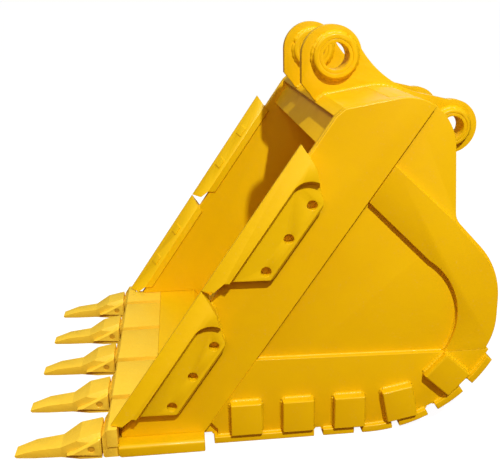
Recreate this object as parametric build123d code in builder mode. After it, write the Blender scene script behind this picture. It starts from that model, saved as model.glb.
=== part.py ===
"""Heavy-duty rock bucket for a 25 to 30 tonne excavator.

X runs across the bucket, -Y points the way the teeth point, +Z is up.
The origin is the centre of the stick pin bore, half way between the two ears.
All sizes are in millimetres.
"""

import os
from math import atan2, cos, dist, radians, sin, tan

from build123d import *

# ---------------------------------------------------------------- driving sizes

# ground and cross direction
ground_z = -1218.0             # plane that teeth, guards and wear strips stand on
inner_half_width = 532.0       # clear half width between the side plates
side_plate_t = 25.0
side_wear_t = 18.0             # bars and wear plates welded on the side plates
strip_t = 24.0                 # belly wear strips
strip_overhang = 15.0          # how far a strip runs past the side wear plates
heel_block_t = 30.0

# side outline, as the corners of the plate before they are rounded
front_corner = (-66.0, -150.0)
top_corner = (-39.0, -128.0)
back_top_corner = (300.0, -74.0)
back_waist_corner = (325.0, ground_z + 726.0)
back_y = 485.0                 # rearmost upright of the heel
heel_low_z = ground_z + 322.0
heel_high_z = ground_z + 551.5
heel_floor_y = 320.0
back_top_radius = 168.0
back_waist_radius = 60.0
heel_radius = 472.0
shoulder_radius = 280.0
heel_join = 2.0                # short straight run between the two lower heel arcs
mouth_foot_y = -741.7          # where the side plates' front edge meets the lip's top
wrapper_t = 22.0

# top plate and torque tube
top_plate_t = 30.0
top_plate_rear_y = 105.0
tube_top_down = 4.0            # where the tube's front plate meets the top plate
tube_front_t = 25.0
tube_front_inset = 25.0         # the front plate is set back from the mouth edge
tube_front_length = 100.0      # measured down the mouth edge
tube_floor_t = 20.0
tube_floor_rear = (300.0, -300.0)

# lip (base edge) and its end guards
lip_t = 79.0
lip_rear_y = -455.0
lip_top_rear_y = -505.0
lip_nose_y = -780.0
lip_nose_top_drop = 41.0       # nose top below the lip top
lip_nose_bottom_rise = 16.0
lip_nose_bottom_run = 35.0
lip_rebate_y = -660.0          # rear end of the seats that the adapters lie in
lip_rebate_depth = 21.0
guard_width = 55.0
guard_top_z = ground_z + 42.0
guard_rear_y = -500.0
guard_chamfer = 8.0
guard_front_gap = 6.0          # between the guard's lower flange and an adapter leg

# hinge ears and their two pin bores
link_pin = (414.0, -254.0)
stick_bore_r = 45.0
stick_bush_t = 12.0
stick_boss_r = 76.0
stick_ear_r = 103.0
stick_ear_y = -10.0            # the ear's round head sits a little forward of the bore
link_bore_r = 40.0
link_bush_t = 11.0
link_boss_r = 65.0
link_ear_r = 95.0
ear_t = 37.0
ear_inner_x = 185.0
boss_inner_x = 167.0
boss_outer_x = 248.0
boss_chamfer = 5.0
bush_recess = 0.5
bush_chamfer = 1.0
ear_front_y = stick_ear_y - stick_ear_r
ear_front_low_z = -88.0
ear_front_foot = (-84.0, -124.0)
ear_neck = (90.0, 22.0)        # the ear's upper edge sweeps from here
ear_waist = (171.0, -69.0)
ear_crest = (335.0, -142.0)    # to here
ear_crest_back = 12.0
ear_rear_foot_z = -415.0

# front bars, side wear plates and heel blocks
bar_nose_setback = 8.0
bar_foot = (-498.0, ground_z + 38.0)   # rear edge of the front bar at its foot
rear_wear_inset = 12.0
shelf_front = (-318.0, ground_z + 289.0)
shelf_rear = (302.0, ground_z + 274.0)
rear_wear_top = ((117.0, ground_z + 912.0), (366.0, ground_z + 675.0))
rear_wear_inner = (
    (40.0, ground_z + 799.0),
    (240.0, ground_z + 598.0),
    (343.0, ground_z + 388.0),
    (306.0, shelf_rear[1]),
)
block_size = (103.0, 114.0)
block_chamfer = 3.0
block_places = (
    (-360.0, ground_z + 88.0, 0.0),
    (-188.0, ground_z + 87.0, 0.0),
    (-16.0, ground_z + 87.0, 0.0),
    (154.0, ground_z + 105.0, 11.0),
    (312.0, ground_z + 200.0, 47.0),
)

# belly wear strips: two on the flat floor, four round the heel
flat_strips = ((-468.0, -133.0), (-103.0, 3.0))
heel_strip_angles = (4.8, 19.8, 36.2, 53.0)    # from straight down to the middle
heel_strip_span = 12.2                         # degrees

# side cutters: 'down' runs along the mouth edge, 'forward' stands out of it
cutter_start = 124.0
cutter_overrun = 31.0          # the lower cutter runs this far past the mouth edge's foot
cutter_gap = 3.0
cutter_reach = 50.0
cutter_rear = -119.0
cutter_head = ((16.0, 12.0), (34.0, -26.0), (95.0, -92.0))     # down from the top end, forward
cutter_head_bend = (112.0, -111.0)
cutter_rear_start = 140.0
cutter_foot = ((146.0, cutter_rear), (100.0, -50.0), (61.0, 8.0), (20.0, 18.0))   # up from the foot
cutter_step = -15.0            # where the thick blade drops to the bolting pad
cutter_step_start = 76.0       # upper end of the sunk bolting pad
cutter_step_radius = 52.0
cutter_step_slope = 30.0        # degrees, how far that drop leans
cutter_pad_bevel = 8.0
cutter_pad_t = 32.0
cutter_blade_t = 55.0
cutter_blade_fall = 5.0        # the blade's face falls this much by the mouth edge
cutter_edge_t = 12.0
cutter_edge_out = 25.0         # cutting edge outside the bar's face
cutter_hook_t = 7.0            # metal in front of the mouth edge at that leg
cutter_leg_t = 6.0             # inner leg that laps over the side plate's inner face
cutter_leg_lap = 18.0
cutter_clearance = 1.0
cutter_hole_r = 16.5
cutter_first_hole = 134.0
cutter_hole_pitch = 125.0
cutter_hole_forward = -84.0
cutter_lug_places = (148.0, 320.0)             # down from the cutter's top end
cutter_lug_length = 42.0
cutter_lug_band = (22.0, 58.0)                 # across the blade's inner face
cutter_lug_t = 4.0

# teeth, adapters and tooth pins
tooth_count = 5
outer_tooth_x = 3.0            # outer teeth stand this far outside the side plates
adapter_gap = 30.0
adapter_front_y = -815.0
adapter_body_half = 60.0
adapter_leg_rear_y = -690.0
corner_head_half = 66.0
nose_root_y = -830.0
nose_tip_y = -940.0
nose_root_half = 38.0
nose_tip_half = 24.0
nose_root_z = (ground_z + 13.0, ground_z + 68.0)
nose_tip_z = (ground_z + 14.0, ground_z + 34.0)
nose_clearance = 0.5
tooth_rear_y = -834.0
tooth_half = 62.0
tooth_shoulder_z = ground_z + 55.0
tooth_top_half = 45.0
tooth_cheek_half = 68.0
tooth_cheek_bevel = 5.0
tooth_side = (                 # from the rear foot round the tip to the rear top
    (tooth_rear_y, ground_z),
    (-1112.0, ground_z),
    (-1118.0, ground_z + 5.0),
    (-1118.0, ground_z + 9.0),
    (-1053.0, ground_z + 28.0),
    (-966.0, ground_z + 36.0),
    (-904.0, ground_z + 70.0),
    (tooth_rear_y, ground_z + 87.0),
)
tooth_plan = (                 # half width, and where along the tooth
    (tooth_half, tooth_rear_y),
    (58.0, -904.0),
    (40.0, -966.0),
    (35.0, -1053.0),
    (27.0, -1118.0),
)
tooth_cheek = (
    (tooth_rear_y, ground_z + 8.0),
    (-946.0, ground_z + 19.0),
    (-842.0, ground_z + 72.0),
    (tooth_rear_y, ground_z + 72.0),
)
nose_end_gap = 3.0
adapter_bevel = 6.0
retainer_clearance = 0.3
tooth_pin_chamfer = 1.5
tooth_pin_yz = (-866.0, ground_z + 37.0)
tooth_pin_r = 11.0
tooth_pin_clearance = 0.4
tooth_pin_recess = 4.0
retainer_r = 19.0
retainer_t = 4.5
retainer_seat_x = 26.0

# ---------------------------------------------------------------- worked-out places

side_outer_x = inner_half_width + side_plate_t
wear_outer_x = side_outer_x + side_wear_t
strip_end_x = wear_outer_x + strip_overhang
block_outer_x = wear_outer_x + heel_block_t
floor_z = ground_z + strip_t                   # underside of floor and lip
lip_top_z = floor_z + lip_t
heel_turn = atan2(heel_low_z - floor_z, back_y - heel_floor_y)
heel_run = dist((heel_floor_y, floor_z), (back_y, heel_low_z))
heel_back_radius = (
    heel_run - heel_radius * tan(heel_turn / 2) - heel_join
) / tan((radians(90) - heel_turn) / 2)
tooth_pitch = 2 * (side_outer_x + outer_tooth_x) / (tooth_count - 1)
heel_centre = (heel_floor_y - heel_radius * tan(heel_turn / 2), floor_z + heel_radius)
mouth_length = dist(front_corner, (mouth_foot_y, lip_top_z))
mouth = (
    (front_corner[0] - mouth_foot_y) / mouth_length,
    (front_corner[1] - lip_top_z) / mouth_length,
)
cutter_length = (mouth_length + cutter_overrun - cutter_start - cutter_gap) / 2
FAR = 2000.0                                   # larger than the whole bucket


def mouth_point(down, forward=0.0):
    """A point 'down' the mouth edge from its top corner, and 'forward' of it."""
    return (
        front_corner[0] - mouth[0] * down - mouth[1] * forward,
        front_corner[1] - mouth[1] * down + mouth[0] * forward,
    )


def mouth_y(z):
    """Where the mouth edge is at a given height."""
    return mouth_point((front_corner[1] - z) / mouth[1])[0]


def mouth_shift(point, up):
    """A point moved up a line that runs beside the mouth edge."""
    return (point[0] + mouth[0] * up, point[1] + mouth[1] * up)


def slab(sketch, x_low, x_high):
    """A plate cut to a YZ sketch, from x_low to x_high."""
    with BuildPart() as plate:
        with BuildSketch(Plane.YZ.offset(x_low)):
            add(sketch)
        extrude(amount=x_high - x_low)
    return plate.part


def mirrored(solid):
    """The same piece on the other side of the bucket."""
    return mirror(solid, about=Plane.YZ)


def save(solid, name):
    """Label a finished piece and write its STEP file."""
    solid.label = name
    export_step(solid, f"parts/{name}.step")


def save_pair(solid, name):
    """The left piece (+X) and its mirror image on the right."""
    save(solid, f"{name}_left")
    save(mirrored(solid), f"{name}_right")


os.makedirs("parts", exist_ok=True)

# ---------------------------------------------------------------- side outline

with BuildSketch() as outline:
    with BuildLine():
        FilletPolyline(
            (lip_rear_y, floor_z),
            (heel_floor_y, floor_z),
            (back_y, heel_low_z),
            (back_y, heel_high_z),
            back_waist_corner,
            back_top_corner,
            top_corner,
            radius=[
                heel_radius,
                heel_back_radius,
                shoulder_radius,
                back_waist_radius,
                back_top_radius,
            ],
        )
        Polyline(
            top_corner,
            front_corner,
            (mouth_y(lip_top_z), lip_top_z),
            (lip_top_rear_y, lip_top_z),
            (lip_rear_y, floor_z + wrapper_t),
            (lip_rear_y, floor_z),
        )
    make_face()

with BuildSketch() as outer_skin:
    add(outline.sketch)
    offset(amount=strip_t, kind=Kind.INTERSECTION)
    add(outline.sketch, mode=Mode.SUBTRACT)

# ---------------------------------------------------------------- shell

save_pair(slab(outline.sketch, inner_half_width, side_outer_x), "side_plate")

# The wrapper is one rolled plate: back, heel and floor.
with BuildSketch() as wrapper_section:
    add(outline.sketch)
    offset(amount=-wrapper_t, kind=Kind.INTERSECTION, mode=Mode.SUBTRACT)
    with BuildLine():
        Polyline(
            (top_plate_rear_y, FAR),
            (FAR, FAR),
            (FAR, -FAR),
            (lip_rear_y, -FAR),
            (lip_rear_y, lip_top_z),
            (top_plate_rear_y, lip_top_z),
            close=True,
        )
    make_face(mode=Mode.INTERSECT)
save(slab(wrapper_section.sketch, -inner_half_width, inner_half_width), "wrapper")

# The top plate carries the ears and closes the torque tube from above.
top_slope = atan2(back_top_corner[1] - top_corner[1], back_top_corner[0] - top_corner[0])
top_down = (top_plate_t * sin(top_slope), -top_plate_t * cos(top_slope))
top_rear = (
    top_plate_rear_y,
    top_corner[1] + (top_plate_rear_y - top_corner[0]) * tan(top_slope),
)
with BuildSketch() as top_section:
    with BuildLine():
        Polyline(
            front_corner,
            top_corner,
            top_rear,
            (top_rear[0], top_rear[1] - top_plate_t / cos(top_slope)),
            mouth_point(tube_top_down, -tube_front_inset),
            mouth_point(tube_top_down),
            close=True,
        )
    make_face()
save(slab(top_section.sketch, -inner_half_width, inner_half_width), "top_plate")

# The torque tube: a front plate on the mouth edge, a floor plate and two ribs.
tube_foot = tube_top_down + tube_front_length
tube_front_back = -tube_front_inset - tube_front_t
with BuildSketch() as tube_front_section:
    with BuildLine():
        Polyline(
            mouth_point(-FAR, -tube_front_inset),
            mouth_point(tube_foot, -tube_front_inset),
            mouth_point(tube_foot, tube_front_back),
            mouth_point(-FAR, tube_front_back),
            close=True,
        )
    make_face()
    add(outline.sketch, mode=Mode.INTERSECT)
    add(top_section.sketch, mode=Mode.SUBTRACT)
save(slab(tube_front_section.sketch, -inner_half_width, inner_half_width), "tube_front_plate")

tube_floor_low = mouth_point(tube_foot, tube_front_back)
tube_floor_high = mouth_point(tube_foot - tube_floor_t, tube_front_back)
with BuildSketch() as tube_floor_section:
    with BuildLine():
        Polyline(
            tube_floor_low,
            tube_floor_high,
            (tube_floor_rear[0], tube_floor_rear[1] + tube_floor_t),
            (back_y, tube_floor_rear[1] + tube_floor_t),
            (back_y, tube_floor_rear[1]),
            tube_floor_rear,
            close=True,
        )
    make_face()
    add(outline.sketch, mode=Mode.INTERSECT)
    add(wrapper_section.sketch, mode=Mode.SUBTRACT)
save(slab(tube_floor_section.sketch, -inner_half_width, inner_half_width), "tube_floor_plate")

with BuildSketch() as tube_rib_section:
    with BuildLine():
        Polyline(
            tube_floor_high,
            mouth_point(-FAR, tube_front_back),
            (FAR, FAR),
            (FAR, tube_floor_rear[1] + tube_floor_t),
            (tube_floor_rear[0], tube_floor_rear[1] + tube_floor_t),
            close=True,
        )
    make_face()
    add(outline.sketch, mode=Mode.INTERSECT)
    add(wrapper_section.sketch, mode=Mode.SUBTRACT)
    add(top_section.sketch, mode=Mode.SUBTRACT)
save_pair(slab(tube_rib_section.sketch, ear_inner_x, ear_inner_x + ear_t), "tube_rib")

# ---------------------------------------------------------------- lip

# The lip is thick at the back and steps down to a seat and nose for the adapters.
lip_nose = (
    (lip_nose_y + lip_nose_bottom_run, floor_z),
    (lip_nose_y, floor_z + lip_nose_bottom_rise),
    (lip_nose_y, lip_top_z - lip_nose_top_drop),
    (lip_rebate_y, lip_top_z - lip_rebate_depth),
    (lip_rebate_y, lip_top_z),
)
with BuildSketch() as lip_section:
    with BuildLine():
        Polyline(
            (lip_rear_y, floor_z),
            *lip_nose,
            (lip_top_rear_y, lip_top_z),
            (lip_rear_y, floor_z + wrapper_t),
            close=True,
        )
    make_face()
save(slab(lip_section.sketch, -side_outer_x, side_outer_x), "lip_plate")

# Guards wrap the two lower corners of the lip.
with BuildPart() as guard:
    with BuildSketch(Plane.YZ.offset(wear_outer_x)):
        with BuildLine():
            Polyline(
                (lip_nose_y, ground_z + guard_chamfer),
                (lip_nose_y, guard_top_z),
                (guard_rear_y, guard_top_z),
                (guard_rear_y, ground_z),
                (lip_nose_y + guard_chamfer, ground_z),
                close=True,
            )
        make_face()
    extrude(amount=guard_width)
    chamfer(guard.faces().sort_by(Axis.X)[-1].edges().sort_by(Axis.Z)[-1], guard_chamfer)
    with BuildSketch(Plane.YZ.offset(wear_outer_x - guard_width)):
        with BuildLine():
            Polyline(
                (adapter_leg_rear_y + guard_front_gap, floor_z),
                (guard_rear_y, floor_z),
                (guard_rear_y, ground_z),
                (adapter_leg_rear_y + guard_front_gap, ground_z),
                close=True,
            )
        make_face()
    extrude(amount=guard_width)
save_pair(guard.part, "lip_end_guard")

# ---------------------------------------------------------------- front bars and side wear

# The bar covers the whole front of the side plate and the end of the lip.
bar_nose_y = lip_nose_y + bar_nose_setback
bar_nose_z = front_corner[1] - (front_corner[0] - bar_nose_y) * mouth[1] / mouth[0]
bar_top = mouth_shift(bar_foot, FAR)
bar_bottom = mouth_shift(bar_foot, -FAR)
with BuildSketch() as side_full:
    add(outline.sketch)
    with BuildLine():
        Polyline(
            (bar_nose_y, floor_z),
            (lip_rear_y, floor_z),
            (lip_rear_y, floor_z + wrapper_t),
            (lip_top_rear_y, lip_top_z),
            (mouth_y(lip_top_z), lip_top_z),
            (bar_nose_y, bar_nose_z),
            close=True,
        )
    make_face()

with BuildSketch() as bar_section:
    with BuildLine():
        Polyline((-2 * FAR, FAR), bar_top, bar_bottom, (-2 * FAR, -FAR), close=True)
    make_face()
    add(side_full.sketch, mode=Mode.INTERSECT)
save_pair(slab(bar_section.sketch, side_outer_x, wear_outer_x), "side_bar")

# Behind the bar, one wear plate lies along the floor and one follows the heel and back.
with BuildSketch() as behind_bar:
    add(outline.sketch)
    add(bar_section.sketch, mode=Mode.SUBTRACT)

with BuildSketch() as floor_wear_section:
    with BuildLine():
        Polyline(
            (shelf_front[0] - FAR, shelf_front[1]),
            shelf_front,
            shelf_rear,
            (FAR, shelf_rear[1]),
            (FAR, -FAR),
            (shelf_front[0] - FAR, -FAR),
            close=True,
        )
    make_face()
    add(behind_bar.sketch, mode=Mode.INTERSECT)
save_pair(slab(floor_wear_section.sketch, side_outer_x, wear_outer_x), "floor_side_wear_plate")

with BuildSketch() as heel_wear_section:
    with BuildLine():
        Polyline(
            rear_wear_inner[0],
            rear_wear_top[0],
            rear_wear_top[1],
            (FAR, rear_wear_top[1][1]),
            (FAR, shelf_rear[1]),
            rear_wear_inner[-1],
        )
        ThreePointArc(rear_wear_inner[-1], rear_wear_inner[2], rear_wear_inner[1])
        Line(rear_wear_inner[1], rear_wear_inner[0])
    make_face()
    with BuildSketch(mode=Mode.INTERSECT):
        add(outline.sketch)
        offset(amount=-rear_wear_inset, kind=Kind.INTERSECTION)
    add(bar_section.sketch, mode=Mode.SUBTRACT)
    add(floor_wear_section.sketch, mode=Mode.SUBTRACT)
save_pair(slab(heel_wear_section.sketch, side_outer_x, wear_outer_x), "heel_side_wear_plate")

# Five square blocks on each side take the scraping at the floor and heel.
with BuildPart() as blocks:
    for block_y, block_z, turn in block_places:
        with BuildSketch(Plane.YZ.offset(wear_outer_x)):
            with Locations(Location((block_y, block_z, 0), (0, 0, turn))):
                Rectangle(*block_size)
        extrude(amount=heel_block_t)
    chamfer(blocks.faces().filter_by(Axis.X).group_by(Axis.X)[-1].edges(), block_chamfer)
save_pair(blocks.part, "heel_blocks")

# ---------------------------------------------------------------- belly wear strips

def save_strip(section, number):
    save(slab(section, -strip_end_x, strip_end_x), f"belly_strip_{number}")


for number, (front_y, rear_y) in enumerate(flat_strips, start=1):
    with BuildSketch() as strip:
        with BuildLine():
            Polyline(
                (front_y, ground_z),
                (rear_y, ground_z),
                (rear_y, floor_z),
                (front_y, floor_z),
                close=True,
            )
        make_face()
    save_strip(strip.sketch, number)

for number, angle in enumerate(heel_strip_angles, start=len(flat_strips) + 1):
    low = radians(angle - heel_strip_span / 2)
    high = radians(angle + heel_strip_span / 2)
    with BuildSketch() as strip:
        with BuildLine():
            Polyline(
                heel_centre,
                (heel_centre[0] + FAR * sin(low), heel_centre[1] - FAR * cos(low)),
                (heel_centre[0] + FAR * sin(high), heel_centre[1] - FAR * cos(high)),
                close=True,
            )
        make_face()
        add(outer_skin.sketch, mode=Mode.INTERSECT)
    save_strip(strip.sketch, number)

# ---------------------------------------------------------------- hinge ears and bosses

with BuildSketch() as ear_section:
    with BuildLine():
        Polyline(
            (stick_ear_y, 0),
            (ear_front_y, 0),
            (ear_front_y, ear_front_low_z),
            ear_front_foot,
            front_corner,
            (0, ear_rear_foot_z),
            (back_waist_corner[0], ear_rear_foot_z),
            (link_pin[0], link_pin[1] - link_ear_r),
            link_pin,
            (link_pin[0] - ear_crest_back, link_pin[1] + link_ear_r),
            ear_crest,
        )
        ThreePointArc(ear_crest, ear_waist, ear_neck)
        Line(ear_neck, (stick_ear_y, 0))
    make_face()
    with Locations((stick_ear_y, 0)):
        Circle(stick_ear_r)
    with Locations(link_pin):
        Circle(link_ear_r)
    add(outline.sketch, mode=Mode.SUBTRACT)
    Circle(stick_boss_r, mode=Mode.SUBTRACT)
    with Locations(link_pin):
        Circle(link_boss_r, mode=Mode.SUBTRACT)
save_pair(slab(ear_section.sketch, ear_inner_x, ear_inner_x + ear_t), "hinge_ear")


def ring(centre, outer_r, inner_r, x_low, x_high, edge):
    """A ring on an X axis through 'centre', with its outer rims chamfered."""
    with BuildPart() as turned:
        with BuildSketch(Plane.YZ.offset(x_low)):
            with Locations(centre):
                Circle(outer_r)
                Circle(inner_r, mode=Mode.SUBTRACT)
        extrude(amount=x_high - x_low)
        rims = turned.edges().filter_by(GeomType.CIRCLE).group_by(SortBy.RADIUS)[-1]
        chamfer(rims, edge)
    return turned.part


for name, centre, boss_r, bush_t, bore_r in (
    ("stick", (0, 0), stick_boss_r, stick_bush_t, stick_bore_r),
    ("link", link_pin, link_boss_r, link_bush_t, link_bore_r),
):
    bush_r = bore_r + bush_t
    boss = ring(centre, boss_r, bush_r, boss_inner_x, boss_outer_x, boss_chamfer)
    save_pair(boss, f"{name}_pin_boss")
    bush = ring(
        centre, bush_r, bore_r, boss_inner_x + bush_recess, boss_outer_x - bush_recess, bush_chamfer
    )
    save_pair(bush, f"{name}_pin_bush")

# ---------------------------------------------------------------- side cutters

# Section square to the mouth edge (x across, y forward), side view (x down, y forward).
across = Plane(
    origin=(0, *front_corner), x_dir=(1, 0, 0), z_dir=(0, -mouth[0], -mouth[1])
)
side_view = Plane(
    origin=(0, *front_corner), x_dir=(0, -mouth[0], -mouth[1]), z_dir=(-1, 0, 0)
)
pad_x = wear_outer_x + cutter_pad_t
blade_x = wear_outer_x + cutter_blade_t
cutter_edge_x = wear_outer_x + cutter_edge_out
cutter_leg_x = inner_half_width - cutter_leg_t
inner_lip = (cutter_leg_x, cutter_clearance + cutter_hook_t)
inner_edge = (cutter_edge_x - cutter_edge_t / 2, cutter_reach)
hole_line = [cutter_start + cutter_first_hole + n * cutter_hole_pitch for n in range(3)]


def inner_face_point(along, out):
    """A point on the blade's inner face, 'along' it from the lip and 'out' of the metal."""
    run = dist(inner_lip, inner_edge)
    step = ((inner_edge[0] - inner_lip[0]) / run, (inner_edge[1] - inner_lip[1]) / run)
    return (
        inner_lip[0] + step[0] * along - step[1] * out,
        inner_lip[1] + step[1] * along + step[0] * out,
    )


def side_cutter(shift):
    """A cast side cutter, 'shift' further down the mouth edge than the upper one."""
    start = cutter_start + shift
    end = start + cutter_length
    head = [(start + down, forward) for down, forward in cutter_head]
    foot = [(end - up, forward) for up, forward in cutter_foot]
    bend = (start + cutter_head_bend[0], cutter_head_bend[1])
    rear_start = (start + cutter_rear_start, cutter_rear)
    with BuildPart() as cutter:
        with BuildSketch(across):
            with BuildLine():
                Polyline(
                    (wear_outer_x, cutter_rear),
                    (blade_x, cutter_rear),
                    (blade_x, cutter_step),
                    (blade_x - cutter_blade_fall, cutter_clearance),
                    (cutter_edge_x + cutter_edge_t / 2, cutter_reach),
                    inner_edge,
                    inner_lip,
                    (cutter_leg_x, -cutter_leg_lap),
                    (inner_half_width, -cutter_leg_lap),
                    (inner_half_width, cutter_clearance),
                    (wear_outer_x, cutter_clearance),
                    close=True,
                )
            make_face()
        extrude(amount=end + FAR)
        with BuildSketch(side_view):
            with BuildLine():
                Polyline((start, cutter_reach), *head)
                ThreePointArc(head[-1], bend, rear_start)
                Polyline(rear_start, *foot, (end, cutter_reach), (start, cutter_reach))
            make_face()
        extrude(amount=FAR, both=True, mode=Mode.INTERSECT)
        # the bolting pad is sunk below the blade, with one rounded corner
        pad_top = start + cutter_step_start
        with BuildSketch(side_view.offset(-pad_x)):
            with BuildLine():
                Polyline(
                    (pad_top + cutter_step_radius, cutter_step),
                    (end + FAR, cutter_step),
                    (end + FAR, -FAR),
                    (pad_top, -FAR),
                    (pad_top, cutter_step - cutter_step_radius),
                )
                RadiusArc(
                    (pad_top, cutter_step - cutter_step_radius),
                    (pad_top + cutter_step_radius, cutter_step),
                    cutter_step_radius,
                )
            make_face()
        extrude(amount=pad_x - blade_x - cutter_clearance, taper=-cutter_step_slope, mode=Mode.SUBTRACT)
        with BuildSketch(across):
            with BuildLine():
                Polyline(
                    (pad_x - cutter_pad_bevel, cutter_rear),
                    (pad_x + FAR, cutter_rear + cutter_pad_bevel + FAR),
                    (pad_x + FAR, cutter_rear),
                    close=True,
                )
            make_face()
        extrude(amount=end + FAR, mode=Mode.SUBTRACT)
        with BuildSketch(side_view):
            with Locations(*[(down + shift, cutter_hole_forward) for down in hole_line]):
                Circle(cutter_hole_r)
        extrude(amount=FAR, both=True, mode=Mode.SUBTRACT)
        # two lugs stand on the blade's inner face
        for place in cutter_lug_places:
            with BuildSketch(across.offset(start + place)):
                with BuildLine():
                    Polyline(
                        inner_face_point(cutter_lug_band[0], -cutter_lug_t),
                        inner_face_point(cutter_lug_band[1], -cutter_lug_t),
                        inner_face_point(cutter_lug_band[1], cutter_lug_t),
                        inner_face_point(cutter_lug_band[0], cutter_lug_t),
                        close=True,
                    )
                make_face()
            extrude(amount=cutter_lug_length)
    return cutter.part


save_pair(side_cutter(0), "side_cutter_upper")
save_pair(side_cutter(cutter_length + cutter_gap), "side_cutter_lower")

# ---------------------------------------------------------------- adapters, teeth and pins

tooth_places = [tooth_pitch * (n - (tooth_count - 1) / 2) for n in range(tooth_count)]


def tapered(root_half, root_zs, root_y, tip_half, tip_zs, tip_y):
    """A wedge lofted from a root rectangle to a smaller tip rectangle."""
    with BuildPart() as wedge:
        for half, (low, high), place in (
            (root_half, root_zs, root_y),
            (tip_half, tip_zs, tip_y),
        ):
            with BuildSketch(Plane.XZ.offset(-place)):
                with Locations((0, (low + high) / 2)):
                    Rectangle(2 * half, high - low)
        loft()
    return wedge.part


def cross_pin(radius, x_low, x_high):
    """A cylinder on the tooth pin's axis."""
    with BuildPart() as pin:
        with BuildSketch(Plane.YZ.offset(x_low)):
            with Locations(tooth_pin_yz):
                Circle(radius)
        extrude(amount=x_high - x_low)
    return pin.part


def adapter(outer_side):
    """An adapter on the middle of the lip. outer_side is +1 or -1 at a lip corner, else 0."""
    strap_half = (tooth_pitch - adapter_gap) / 2
    with BuildPart() as body:
        with BuildSketch(Plane.YZ.offset(-strap_half)):
            with BuildLine():
                Polyline(
                    (adapter_front_y, lip_top_z - adapter_bevel),
                    (adapter_front_y + adapter_bevel, lip_top_z),
                    (lip_rebate_y, lip_top_z),
                    (lip_rebate_y, lip_top_z - lip_rebate_depth),
                    (lip_nose_y, lip_top_z - lip_nose_top_drop),
                    (lip_nose_y, floor_z + lip_nose_bottom_rise),
                    (adapter_front_y, floor_z + lip_nose_bottom_rise),
                    close=True,
                )
            make_face()
        extrude(amount=2 * strap_half)
        with BuildSketch(Plane.YZ.offset(-adapter_body_half)):
            with BuildLine():
                Polyline(
                    (nose_root_y, ground_z + adapter_bevel),
                    (nose_root_y, nose_root_z[1] + adapter_bevel),
                    (adapter_front_y, lip_top_z - adapter_bevel),
                    (lip_nose_y, lip_top_z - adapter_bevel),
                    (lip_nose_y, floor_z + lip_nose_bottom_rise),
                    (lip_nose_y + lip_nose_bottom_run, floor_z),
                    (adapter_leg_rear_y, floor_z),
                    (adapter_leg_rear_y, ground_z + adapter_bevel),
                    (adapter_leg_rear_y - adapter_bevel, ground_z),
                    (nose_root_y + adapter_bevel, ground_z),
                    close=True,
                )
            make_face()
        extrude(amount=2 * adapter_body_half)
        add(tapered(nose_root_half, nose_root_z, nose_root_y, nose_tip_half, nose_tip_z, nose_tip_y))
        add(cross_pin(tooth_pin_r + tooth_pin_clearance, -FAR, FAR), mode=Mode.SUBTRACT)
        add(cross_pin(retainer_r + retainer_clearance, retainer_seat_x, FAR), mode=Mode.SUBTRACT)
        if outer_side:
            # beside the lip's end nothing may reach past the side plate
            lip_end = side_outer_x - tooth_places[-1]
            head_end = corner_head_half
            with BuildSketch(Plane.XY.offset(ground_z)):
                with Locations((outer_side * (lip_end + FAR / 2), lip_nose_y + FAR / 2)):
                    Rectangle(FAR, FAR)
                with Locations((outer_side * (head_end + FAR / 2), 0)):
                    Rectangle(FAR, 2 * FAR)
            extrude(amount=-2 * ground_z, mode=Mode.SUBTRACT)
    return body.part


def tooth_point():
    """A slip-on rock tooth: side view, plan and rear view cut from one block."""
    with BuildPart() as tooth:
        with BuildSketch(Plane.YZ):
            with BuildLine():
                Polyline(*tooth_side, close=True)
            make_face()
        extrude(amount=tooth_half, both=True)
        with BuildSketch(Plane.XY.offset(ground_z)):
            with BuildLine():
                Polyline(
                    *[(half, place) for half, place in tooth_plan],
                    *[(-half, place) for half, place in reversed(tooth_plan)],
                    close=True,
                )
            make_face()
        extrude(amount=-ground_z, mode=Mode.INTERSECT)
        with BuildSketch(Plane.XZ.offset(-tooth_rear_y)):
            with BuildLine():
                Polyline(
                    (-tooth_half, ground_z),
                    (tooth_half, ground_z),
                    (tooth_half, tooth_shoulder_z),
                    (tooth_top_half, tooth_side[-1][1]),
                    (-tooth_top_half, tooth_side[-1][1]),
                    (-tooth_half, tooth_shoulder_z),
                    close=True,
                )
            make_face()
        extrude(amount=FAR, both=True, mode=Mode.INTERSECT)
        # raised cheeks round the pin
        with BuildSketch(Plane.YZ.offset(-tooth_cheek_half)):
            with BuildLine():
                Polyline(*tooth_cheek, close=True)
            make_face()
        extrude(amount=2 * tooth_cheek_half)
        cheek_faces = tooth.faces().filter_by(Axis.X).sort_by(Axis.X)
        chamfer(cheek_faces[-1].edges() + cheek_faces[0].edges(), tooth_cheek_bevel)
        add(
            tapered(
                nose_root_half + nose_clearance,
                (nose_root_z[0] - nose_clearance, nose_root_z[1] + nose_clearance),
                nose_root_y,
                nose_tip_half + nose_clearance,
                (nose_tip_z[0] - nose_clearance, nose_tip_z[1] + nose_clearance),
                nose_tip_y - nose_end_gap,
            ),
            mode=Mode.SUBTRACT,
        )
        add(cross_pin(tooth_pin_r + tooth_pin_clearance, -FAR, FAR), mode=Mode.SUBTRACT)
    return tooth.part


def tooth_pin():
    """A straight drive-through pin with chamfered ends."""
    half = tooth_cheek_half - tooth_pin_recess
    with BuildPart() as pin:
        add(cross_pin(tooth_pin_r, -half, half))
        chamfer(pin.edges().filter_by(GeomType.CIRCLE), tooth_pin_chamfer)
    return pin.part


def pin_retainer():
    """A plain locking ring seated in the adapter's counterbore."""
    with BuildPart() as lock:
        with BuildSketch(Plane.YZ.offset(retainer_seat_x)):
            with Locations(tooth_pin_yz):
                Circle(retainer_r)
                Circle(tooth_pin_r + tooth_pin_clearance, mode=Mode.SUBTRACT)
        extrude(amount=retainer_t)
    return lock.part


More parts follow.
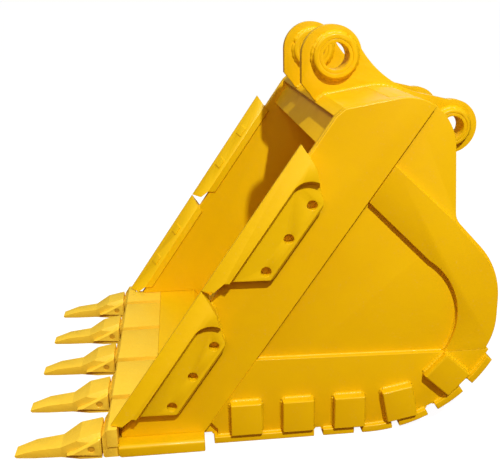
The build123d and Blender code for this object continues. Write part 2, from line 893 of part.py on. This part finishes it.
point = tooth_point()
pin = tooth_pin()
lock = pin_retainer()
for number, place in enumerate(reversed(tooth_places), start=1):
    outer_side = {1: 1, tooth_count: -1}.get(number, 0)
    here = Location((place, 0, 0))
    save(adapter(outer_side).moved(here), f"adapter_{number}")
    save(point.moved(here), f"tooth_{number}")
    save(pin.moved(here), f"tooth_pin_{number}")

locks = Compound(children=[lock.moved(Location((place, 0, 0))) for place in tooth_places])
save(locks, "pin_retainers")
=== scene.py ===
import math
import random

import bmesh
import bpy
from mathutils import Matrix, Vector
from mathutils.bvhtree import BVHTree


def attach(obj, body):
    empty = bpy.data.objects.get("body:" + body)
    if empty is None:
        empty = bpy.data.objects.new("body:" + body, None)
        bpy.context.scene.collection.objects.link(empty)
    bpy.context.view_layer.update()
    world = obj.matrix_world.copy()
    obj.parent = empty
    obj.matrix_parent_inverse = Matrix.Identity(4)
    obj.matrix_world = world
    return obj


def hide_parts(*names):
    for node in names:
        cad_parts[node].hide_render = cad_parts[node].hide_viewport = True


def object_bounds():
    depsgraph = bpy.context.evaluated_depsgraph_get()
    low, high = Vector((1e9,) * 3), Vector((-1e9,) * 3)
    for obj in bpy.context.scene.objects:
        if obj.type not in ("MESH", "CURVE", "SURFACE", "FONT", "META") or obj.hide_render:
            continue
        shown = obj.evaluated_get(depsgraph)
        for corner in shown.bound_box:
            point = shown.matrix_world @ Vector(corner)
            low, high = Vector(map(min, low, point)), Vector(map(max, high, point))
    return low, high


# A heavy-duty rock bucket for an excavator. X runs across it, -Y is the way its teeth point,
# and +Z is up. All sizes are in metres.

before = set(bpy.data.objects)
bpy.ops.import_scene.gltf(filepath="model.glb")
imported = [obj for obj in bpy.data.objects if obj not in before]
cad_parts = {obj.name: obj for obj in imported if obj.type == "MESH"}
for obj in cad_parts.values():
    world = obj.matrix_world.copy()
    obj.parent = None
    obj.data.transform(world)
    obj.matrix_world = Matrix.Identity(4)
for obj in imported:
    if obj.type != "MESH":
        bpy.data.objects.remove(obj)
cad_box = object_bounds()

# ---------------------------------------------------------------- studio
# A round white cyclorama and a weak warm sky. One small far lamp stands high on the near side
# and draws the shadows. Three wide lamps, two of them warm, fill from the side, top and back.

scene = bpy.context.scene
scene.view_settings.view_transform = "Standard"

lens = bpy.data.cameras.new("camera")
lens.lens = 52.82
lens.sensor_width = 36.0
lens.clip_start = 0.05
lens.clip_end = 200.0
camera = bpy.data.objects.new("camera", lens)
camera_place = Vector((2.70739, -0.52853, 0.18134))
camera_aim = Vector((0.0, -0.27959, -0.67205))
camera_tilt = math.radians(-1.354)
facing_aim = (camera_place - camera_aim).to_track_quat("Z", "Y").to_matrix().to_4x4()
camera.matrix_world = (
    Matrix.Translation(camera_place) @ facing_aim @ Matrix.Rotation(camera_tilt, 4, "Z")
)
scene.collection.objects.link(camera)
scene.camera = camera


class Shade:
    """A socket of a node tree. Sums on it add the nodes that work them out."""

    def __init__(self, tree, socket=None):
        self.tree = tree
        self.socket = socket

    def node(self, kind, settings=None, inputs=None, out=0):
        made = self.tree.nodes.new(kind)
        for name, value in (settings or {}).items():
            if name == "stops":
                ramp = made.color_ramp
                while len(ramp.elements) < len(value):
                    ramp.elements.new(0.5)
                for stop, (place, colour) in zip(ramp.elements, value):
                    stop.position = place
                    stop.color = (*colour, 1)
            else:
                setattr(made, name, value)
        for name, value in (inputs or {}).items():
            if isinstance(value, Shade):
                self.tree.links.new(value.socket, made.inputs[name])
            else:
                made.inputs[name].default_value = value
        return Shade(self.tree, made.outputs[out] if made.outputs else None)

    def maths(self, operation, first, second):
        return self.node("ShaderNodeMath", {"operation": operation}, {0: first, 1: second})

    def __add__(self, other):
        return self.maths("ADD", self, other)

    def __mul__(self, other):
        return self.maths("MULTIPLY", self, other)

    def over(self, edge, soft):
        """0 below edge, 1 above it, blurred over 'soft'."""
        return self.node(
            "ShaderNodeMapRange",
            {"interpolation_type": "SMOOTHSTEP"},
            {"Value": self, "From Min": edge - soft / 2, "From Max": edge + soft / 2},
        )

    __radd__ = __add__
    __rmul__ = __mul__


sky = bpy.data.worlds.new("studio_sky")
sky.use_nodes = True
sky.node_tree.nodes.clear()
air = Shade(sky.node_tree)
heading = air.node("ShaderNodeTexCoord", out="Generated")
height = air.node("ShaderNodeSeparateXYZ", inputs={"Vector": heading}, out="Z")
sky_tone = air.node(
    "ShaderNodeValToRGB",
    {
        "stops": (
            (0.0, (0.15, 0.040, 0.030)),
            (0.45, (0.17, 0.060, 0.048)),
            (0.55, (0.16, 0.12, 0.10)),
            (1.0, (0.31, 0.30, 0.29)),
        )
    },
    {"Fac": height * 0.5 + 0.5},
)
glow = air.node("ShaderNodeBackground", inputs={"Color": sky_tone, "Strength": 1.0})
air.node("ShaderNodeOutputWorld", inputs={"Surface": glow})
scene.world = sky

room_radius = 30.0
room_height = 24.0
room_curve = 8.0
room_sides = 96
room_curve_steps = 12
floor_gap = 0.0005
room = bmesh.new()
bmesh.ops.create_cone(
    room, cap_ends=True, segments=room_sides,
    radius1=room_radius, radius2=room_radius, depth=room_height,
)
bmesh.ops.translate(
    room, verts=room.verts, vec=(0, 0, cad_box[0].z + room_height / 2 - floor_gap)
)
room_top = max(room.faces, key=lambda face: face.calc_center_median().z)
bmesh.ops.delete(room, geom=[room_top], context="FACES")
room_foot = min(room.faces, key=lambda face: face.calc_center_median().z)
bmesh.ops.bevel(
    room, geom=list(room_foot.edges), offset=room_curve, segments=room_curve_steps,
    affect="EDGES", profile=0.5, material=-1,
)
bmesh.ops.reverse_faces(room, faces=room.faces)
for face in room.faces:
    face.smooth = True
room_data = bpy.data.meshes.new("studio_room")
room.to_mesh(room_data)
room.free()
studio_room = bpy.data.objects.new("studio_room", room_data)
scene.collection.objects.link(studio_room)
room_paint = bpy.data.materials.new("studio_room")
room_paint.use_nodes = True
room_paint.node_tree.nodes.clear()
sweep = Shade(room_paint.node_tree)
matt = sweep.node("ShaderNodeBsdfDiffuse", inputs={"Color": (0.9, 0.9, 0.9, 1)})
lit = sweep.node("ShaderNodeEmission", inputs={"Color": (1, 1, 1, 1), "Strength": 1.2})
both = sweep.node("ShaderNodeMixShader", inputs={"Fac": 0.80, 1: matt, 2: lit})
sweep.node("ShaderNodeOutputMaterial", inputs={"Surface": both})
room_data.materials.append(room_paint)
studio_room.visible_diffuse = False
studio_room.visible_glossy = False
studio_room.visible_shadow = False

for name, place, aim, size, power, tint in (
    ("key_lamp", (6.5, 1.0, 6.17), (0.0, -0.2, -0.5), 0.30, 800.0, (1.0, 1.0, 1.0)),
    ("side_softbox", (4.6, -2.2, 1.8), (0.4, -0.2, -0.7), 2.4, 45.0, (1.0, 0.60, 0.45)),
    ("overhead_softbox", (-0.3, -3.0, 4.6), (0.0, -0.8, -0.9), 2.0, 80.0, (1.0, 0.95, 0.9)),
    ("back_softbox", (-5.2, 2.5, 1.5), (0.0, -0.3, -0.6), 4.0, 30.0, (1.0, 1.0, 1.0)),
):
    lamp = bpy.data.lights.new(name, "AREA")
    lamp.shape = "DISK"
    lamp.size = size
    lamp.energy = power
    lamp.color = tint
    stand = bpy.data.objects.new(name, lamp)
    stand.location = place
    stand.rotation_euler = (Vector(aim) - Vector(place)).to_track_quat("-Z", "Y").to_euler()
    stand.visible_camera = False
    scene.collection.objects.link(stand)

# ---------------------------------------------------------------- shell plates
# Side plates, the rolled wrapper, the top plate and the torque tube are rolled steel plate,
# flame cut, dressed at the edges, and sprayed with gloss yellow enamel after welding.


film_patch = 0.35
drift_patch = 0.045
speck_size = 0.006
peel_size = 0.0032
dust_colour = (0.80, 0.62, 0.30, 1)
colour_a, colour_b, colour_out = 6, 7, 2  # the Mix node's own sockets for colours


def enamel(name, colour, deep, roughness, coat, peel, grain, grain_size):
    """Sprayed gloss enamel. 'deep' is its tone where it lies thick, 'grain' the steel's skin."""
    made = bpy.data.materials.new(name)
    made.use_nodes = True
    made.node_tree.nodes.clear()
    paint = Shade(made.node_tree)
    place = paint.node("ShaderNodeTexCoord", out="Object")

    def clouds(size, detail, rough=0.5):
        return paint.node(
            "ShaderNodeTexNoise",
            inputs={"Vector": place, "Scale": 1 / size, "Detail": detail, "Roughness": rough},
        )

    film = clouds(film_patch, 3.0)
    drift = clouds(drift_patch, 4.0, 0.6)
    speck = clouds(speck_size, 2.0)
    thick = film * 0.65 + drift * 0.35
    tone = paint.node(
        "ShaderNodeMix",
        {"data_type": "RGBA"},
        {"Factor": thick.over(0.52, 0.5), colour_a: (*colour, 1), colour_b: (*deep, 1)},
        out=colour_out,
    )
    dust = speck.over(0.66, 0.12) * drift.over(0.55, 0.2) * 0.10
    dusted = paint.node(
        "ShaderNodeMix",
        {"data_type": "RGBA"},
        {"Factor": dust, colour_a: tone, colour_b: dust_colour},
        out=colour_out,
    )
    orange_peel = clouds(peel_size, 1.0)
    skin = clouds(grain_size, 5.0, 0.62)
    lumps = paint.node(
        "ShaderNodeBump",
        inputs={"Height": skin, "Strength": 1.0, "Distance": grain},
    )
    bumps = paint.node(
        "ShaderNodeBump",
        inputs={"Height": orange_peel, "Strength": 1.0, "Distance": peel, "Normal": lumps},
    )
    body = paint.node(
        "ShaderNodeBsdfPrincipled",
        inputs={
            "Base Color": dusted,
            "Roughness": drift * 0.16 + dust * 2.0 + (roughness - 0.08),
            "Coat Weight": coat,
            "Coat Roughness": 0.12,
            "Specular IOR Level": 0.22,
            "Normal": bumps,
        },
    )
    paint.node("ShaderNodeOutputMaterial", inputs={"Surface": body})
    return made


plate_enamel = enamel(
    "plate_enamel", (0.83, 0.515, 0.0010), (0.79, 0.465, 0.0007), 0.40, 0.08, 0.00008, 0.0012, 0.12
)


same_place = 0.00002
flat_turn = math.radians(0.4)


def merged(node):
    """A copy of a CAD node's mesh with its triangles joined into whole faces."""
    shape = bmesh.new()
    shape.from_mesh(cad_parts[node].data)
    bmesh.ops.remove_doubles(shape, verts=shape.verts, dist=same_place)
    bmesh.ops.dissolve_limit(
        shape, angle_limit=flat_turn, verts=shape.verts, edges=shape.edges
    )
    return shape


def piece_of(shape, name, material):
    """A new object at the origin from a bmesh, smooth shaded."""
    for face in shape.faces:
        face.smooth = True
    data = bpy.data.meshes.new(name)
    shape.to_mesh(data)
    shape.free()
    data.materials.append(material)
    made = bpy.data.objects.new(name, data)
    scene.collection.objects.link(made)
    return made


def dressed(nodes, material, rounding, steps=2, sharp=28.0, body="bucket"):
    """Shows CAD nodes as the real pieces: the same shape with its edges dressed round."""
    for node in nodes:
        made = piece_of(merged(node), f"{node}_finished", material)
        edge = made.modifiers.new("dressed_edges", "BEVEL")
        edge.limit_method = "ANGLE"
        edge.angle_limit = math.radians(sharp)
        edge.width = rounding
        edge.segments = steps
        edge.profile = 0.5
        edge.harden_normals = True
        edge.miter_outer = "MITER_ARC"
        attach(made, body)
        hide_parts(node)


SIDES = ("left", "right")


def pair(*names):
    return [f"{name}_{side}" for name in names for side in SIDES]


dressed(
    pair("side_plate") + ["wrapper", "top_plate", "tube_front_plate", "tube_floor_plate"],
    plate_enamel, 0.002,
)
dressed(pair("tube_rib"), plate_enamel, 0.0015)

# ---------------------------------------------------------------- lip and end guards
# The lip is one thick planed plate between the side plates. Two guards cast to its corners
# are welded on and stand on the ground with the wear strips.

dressed(["lip_plate"], plate_enamel, 0.003)
dressed(pair("lip_end_guard"), plate_enamel, 0.004, steps=3)

# ---------------------------------------------------------------- side wear plates
# Flame cut bars and plates that double the side plates where they scrape. Each is welded
# all round with a fillet bead, laid by hand in short overlapping ripples.

welded = [shape.data for name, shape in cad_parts.items() if not name.startswith("tooth")]
corners = []
triangles = []
for mesh in welded:
    first = len(corners)
    corners += [vert.co.copy() for vert in mesh.vertices]
    triangles += [[first + corner for corner in face.vertices] for face in mesh.polygons]
walls = BVHTree.FromPolygons(corners, triangles)
hand = random.Random(7)
stand_off = 0.6            # all four are shares of a bead's leg
wall_reach = 0.75
open_behind = 0.5
ripple_pitch = 0.45
above_ground = 0.001
facing = 0.5
least_turn = math.radians(35)
trial_places = (0.1, 0.3, 0.5, 0.7, 0.9)


def in_corner(place, under, beside, leg):
    """True where two walls meet in a hollow corner: one 'under' and one 'beside'."""
    clear = place - stand_off * leg * (under + beside)
    if clear.z < cad_box[0].z + above_ground:
        return False
    for wall in (under, beside):
        _, face_normal, _, _ = walls.ray_cast(clear, wall, wall_reach * leg)
        if face_normal is None or face_normal.dot(wall) > -facing:
            return False
        if walls.ray_cast(clear, -wall, open_behind * leg)[0] is not None:
            return False
    away = -(under + beside).normalized()
    _, face_normal, _, _ = walls.ray_cast(clear, away)
    return face_normal is None or face_normal.dot(away) < 0


def reach(row):
    """How far a row of places gets from its first."""
    return max((step[0] - row[0][0]).length for step in row)


def corner_runs(node, leg, pitch, shortest):
    """Rows of (place, under, beside) along a node's edges that stand in a hollow corner."""
    shape = merged(node)
    links = {}
    for edge in shape.edges:
        if len(edge.link_faces) != 2 or edge.calc_face_angle(0) < least_turn:
            continue
        first, second = (face.normal.copy() for face in edge.link_faces)
        for under, beside in (
            (first, -second), (second, -first), (-first, second), (-second, first),
        ):
            trials = [edge.verts[0].co.lerp(edge.verts[1].co, t) for t in trial_places]
            if any(in_corner(trial, under, beside, leg) for trial in trials):
                links[edge] = (under, beside)
                break
    runs = []
    while links:
        edge = next(iter(links))
        chain = [(edge, *links.pop(edge))]
        ends = [edge.verts[0], edge.verts[1]]
        for tail in (1, 0):
            while True:
                under = chain[-1 if tail else 0][1]
                onward = [
                    near for near in ends[tail].link_edges
                    if near in links and links[near][0].dot(under) > 0.7
                ]
                if not onward:
                    break
                step = (onward[0], *links.pop(onward[0]))
                chain.insert(len(chain) if tail else 0, step)
                ends[tail] = onward[0].other_vert(ends[tail])
        row = []
        here = ends[0]
        for edge, under, beside in chain:
            there = edge.other_vert(here)
            count = max(1, round(edge.calc_length() / pitch))
            for n in range(count):
                place = here.co.lerp(there.co, (n + 0.5) / count)
                if in_corner(place, under, beside, leg):
                    row.append((place, under, beside))
                elif row:
                    runs.append(row)
                    row = []
            here = there
        if row:
            runs.append(row)
    shape.free()
    return [row for row in runs if reach(row) > shortest]


def fillet_weld(name, nodes, leg=0.008, shortest=0.02):
    """Lays a rippled fillet bead in every hollow corner along the edges of these nodes."""
    pitch = ripple_pitch * leg
    sunk = 0.30 * leg
    line = bpy.data.curves.new(name, "CURVE")
    line.dimensions = "3D"
    line.bevel_depth = math.hypot(leg + sunk, sunk)
    line.bevel_resolution = 1
    line.use_fill_caps = True
    for node in nodes:
        for row in corner_runs(node, leg, pitch, shortest):
            bead = line.splines.new("POLY")
            bead.points.add(len(row) - 1)
            for n, (point, (place, under, beside)) in enumerate(zip(bead.points, row)):
                end = min(n, len(row) - 1 - n)
                point.co = (*(place + sunk * (under + beside)), 1)
                point.radius = (
                    (1.0, 0.93, 0.86)[n % 3] + hand.uniform(-0.03, 0.03)
                    - (0.12 if end == 0 else 0.0)
                )
    holder = bpy.data.objects.new(name, line)
    data = bpy.data.meshes.new_from_object(holder)
    bpy.data.objects.remove(holder)
    data.name = name
    data.materials.clear()
    data.materials.append(plate_enamel)
    for face in data.polygons:
        face.use_smooth = True
    made = bpy.data.objects.new(name, data)
    scene.collection.objects.link(made)
    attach(made, "bucket")


side_wear = ("side_bar", "floor_side_wear_plate", "heel_side_wear_plate")
dressed(pair(*side_wear), plate_enamel, 0.0028, steps=3)
for side in SIDES:
    fillet_weld(
        f"side_wear_welds_{side}",
        [f"{name}_{side}" for name in side_wear],
        0.005,
    )

# ---------------------------------------------------------------- heel blocks and belly strips
# Square blocks of hard plate on the sides of the heel, and cross strips under the belly.
# Both are cut from plate and welded down on all sides.

dressed(pair("heel_blocks"), plate_enamel, 0.0035, steps=3)
for side in SIDES:
    fillet_weld(f"heel_block_welds_{side}", [f"heel_blocks_{side}"], 0.009)

strips = [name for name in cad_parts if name.startswith("belly_strip_")]
dressed(strips, plate_enamel, 0.003, steps=3)
fillet_weld("belly_strip_welds", strips, 0.010)

# ---------------------------------------------------------------- hinge ears
# Two thick ears, flame cut, stand on the top plate and carry turned bosses for the stick pin
# and the link pin. A steel bush is pressed into each boss.

dressed(pair("hinge_ear"), plate_enamel, 0.003, steps=3)
dressed(pair("stick_pin_boss", "link_pin_boss"), plate_enamel, 0.0015)
dressed(pair("stick_pin_bush", "link_pin_bush"), plate_enamel, 0.0006)
fillet_weld("ear_welds", pair("hinge_ear"), 0.011)

# ---------------------------------------------------------------- side cutters
# Four cast blades that lap over the front bars and are welded to them. Their skin is sand
# cast under the paint, so it is a little lumpier than the plates'.

cast_enamel = enamel(
    "cast_enamel", (0.84, 0.545, 0.0015), (0.81, 0.50, 0.0012), 0.42, 0.10, 0.00012, 0.0010, 0.03
)
cutters = pair("side_cutter_upper", "side_cutter_lower")
dressed(cutters, cast_enamel, 0.004, steps=3, sharp=24.0)
fillet_weld("side_cutter_welds", cutters, 0.006, shortest=0.036)

# ---------------------------------------------------------------- adapters, teeth and pins
# Adapters are cast and welded on the lip. A cast tooth slips on each nose and a straight pin
# driven in from the side holds it, gripped by a locking ring inside the nose.

tooth_enamel = enamel(
    "tooth_enamel", (0.92, 0.63, 0.045), (0.89, 0.57, 0.030), 0.42, 0.12, 0.00014, 0.0018, 0.018
)
teeth = range(1, 6)
dressed([f"adapter_{n}" for n in teeth], tooth_enamel, 0.003, steps=3)
dressed([f"tooth_{n}" for n in teeth], tooth_enamel, 0.004, steps=3, sharp=15.0)
fillet_weld("adapter_welds", [f"adapter_{n}" for n in teeth], 0.004)

pin_enamel = enamel(
    "pin_enamel", (0.66, 0.37, 0.018), (0.56, 0.29, 0.015), 0.42, 0.1, 0.00010, 0.0008, 0.01
)
for n in teeth:
    dressed([f"tooth_pin_{n}"], pin_enamel, 0.0006, body=f"pin_{n}")
dressed(["pin_retainers"], pin_enamel, 0.0005)
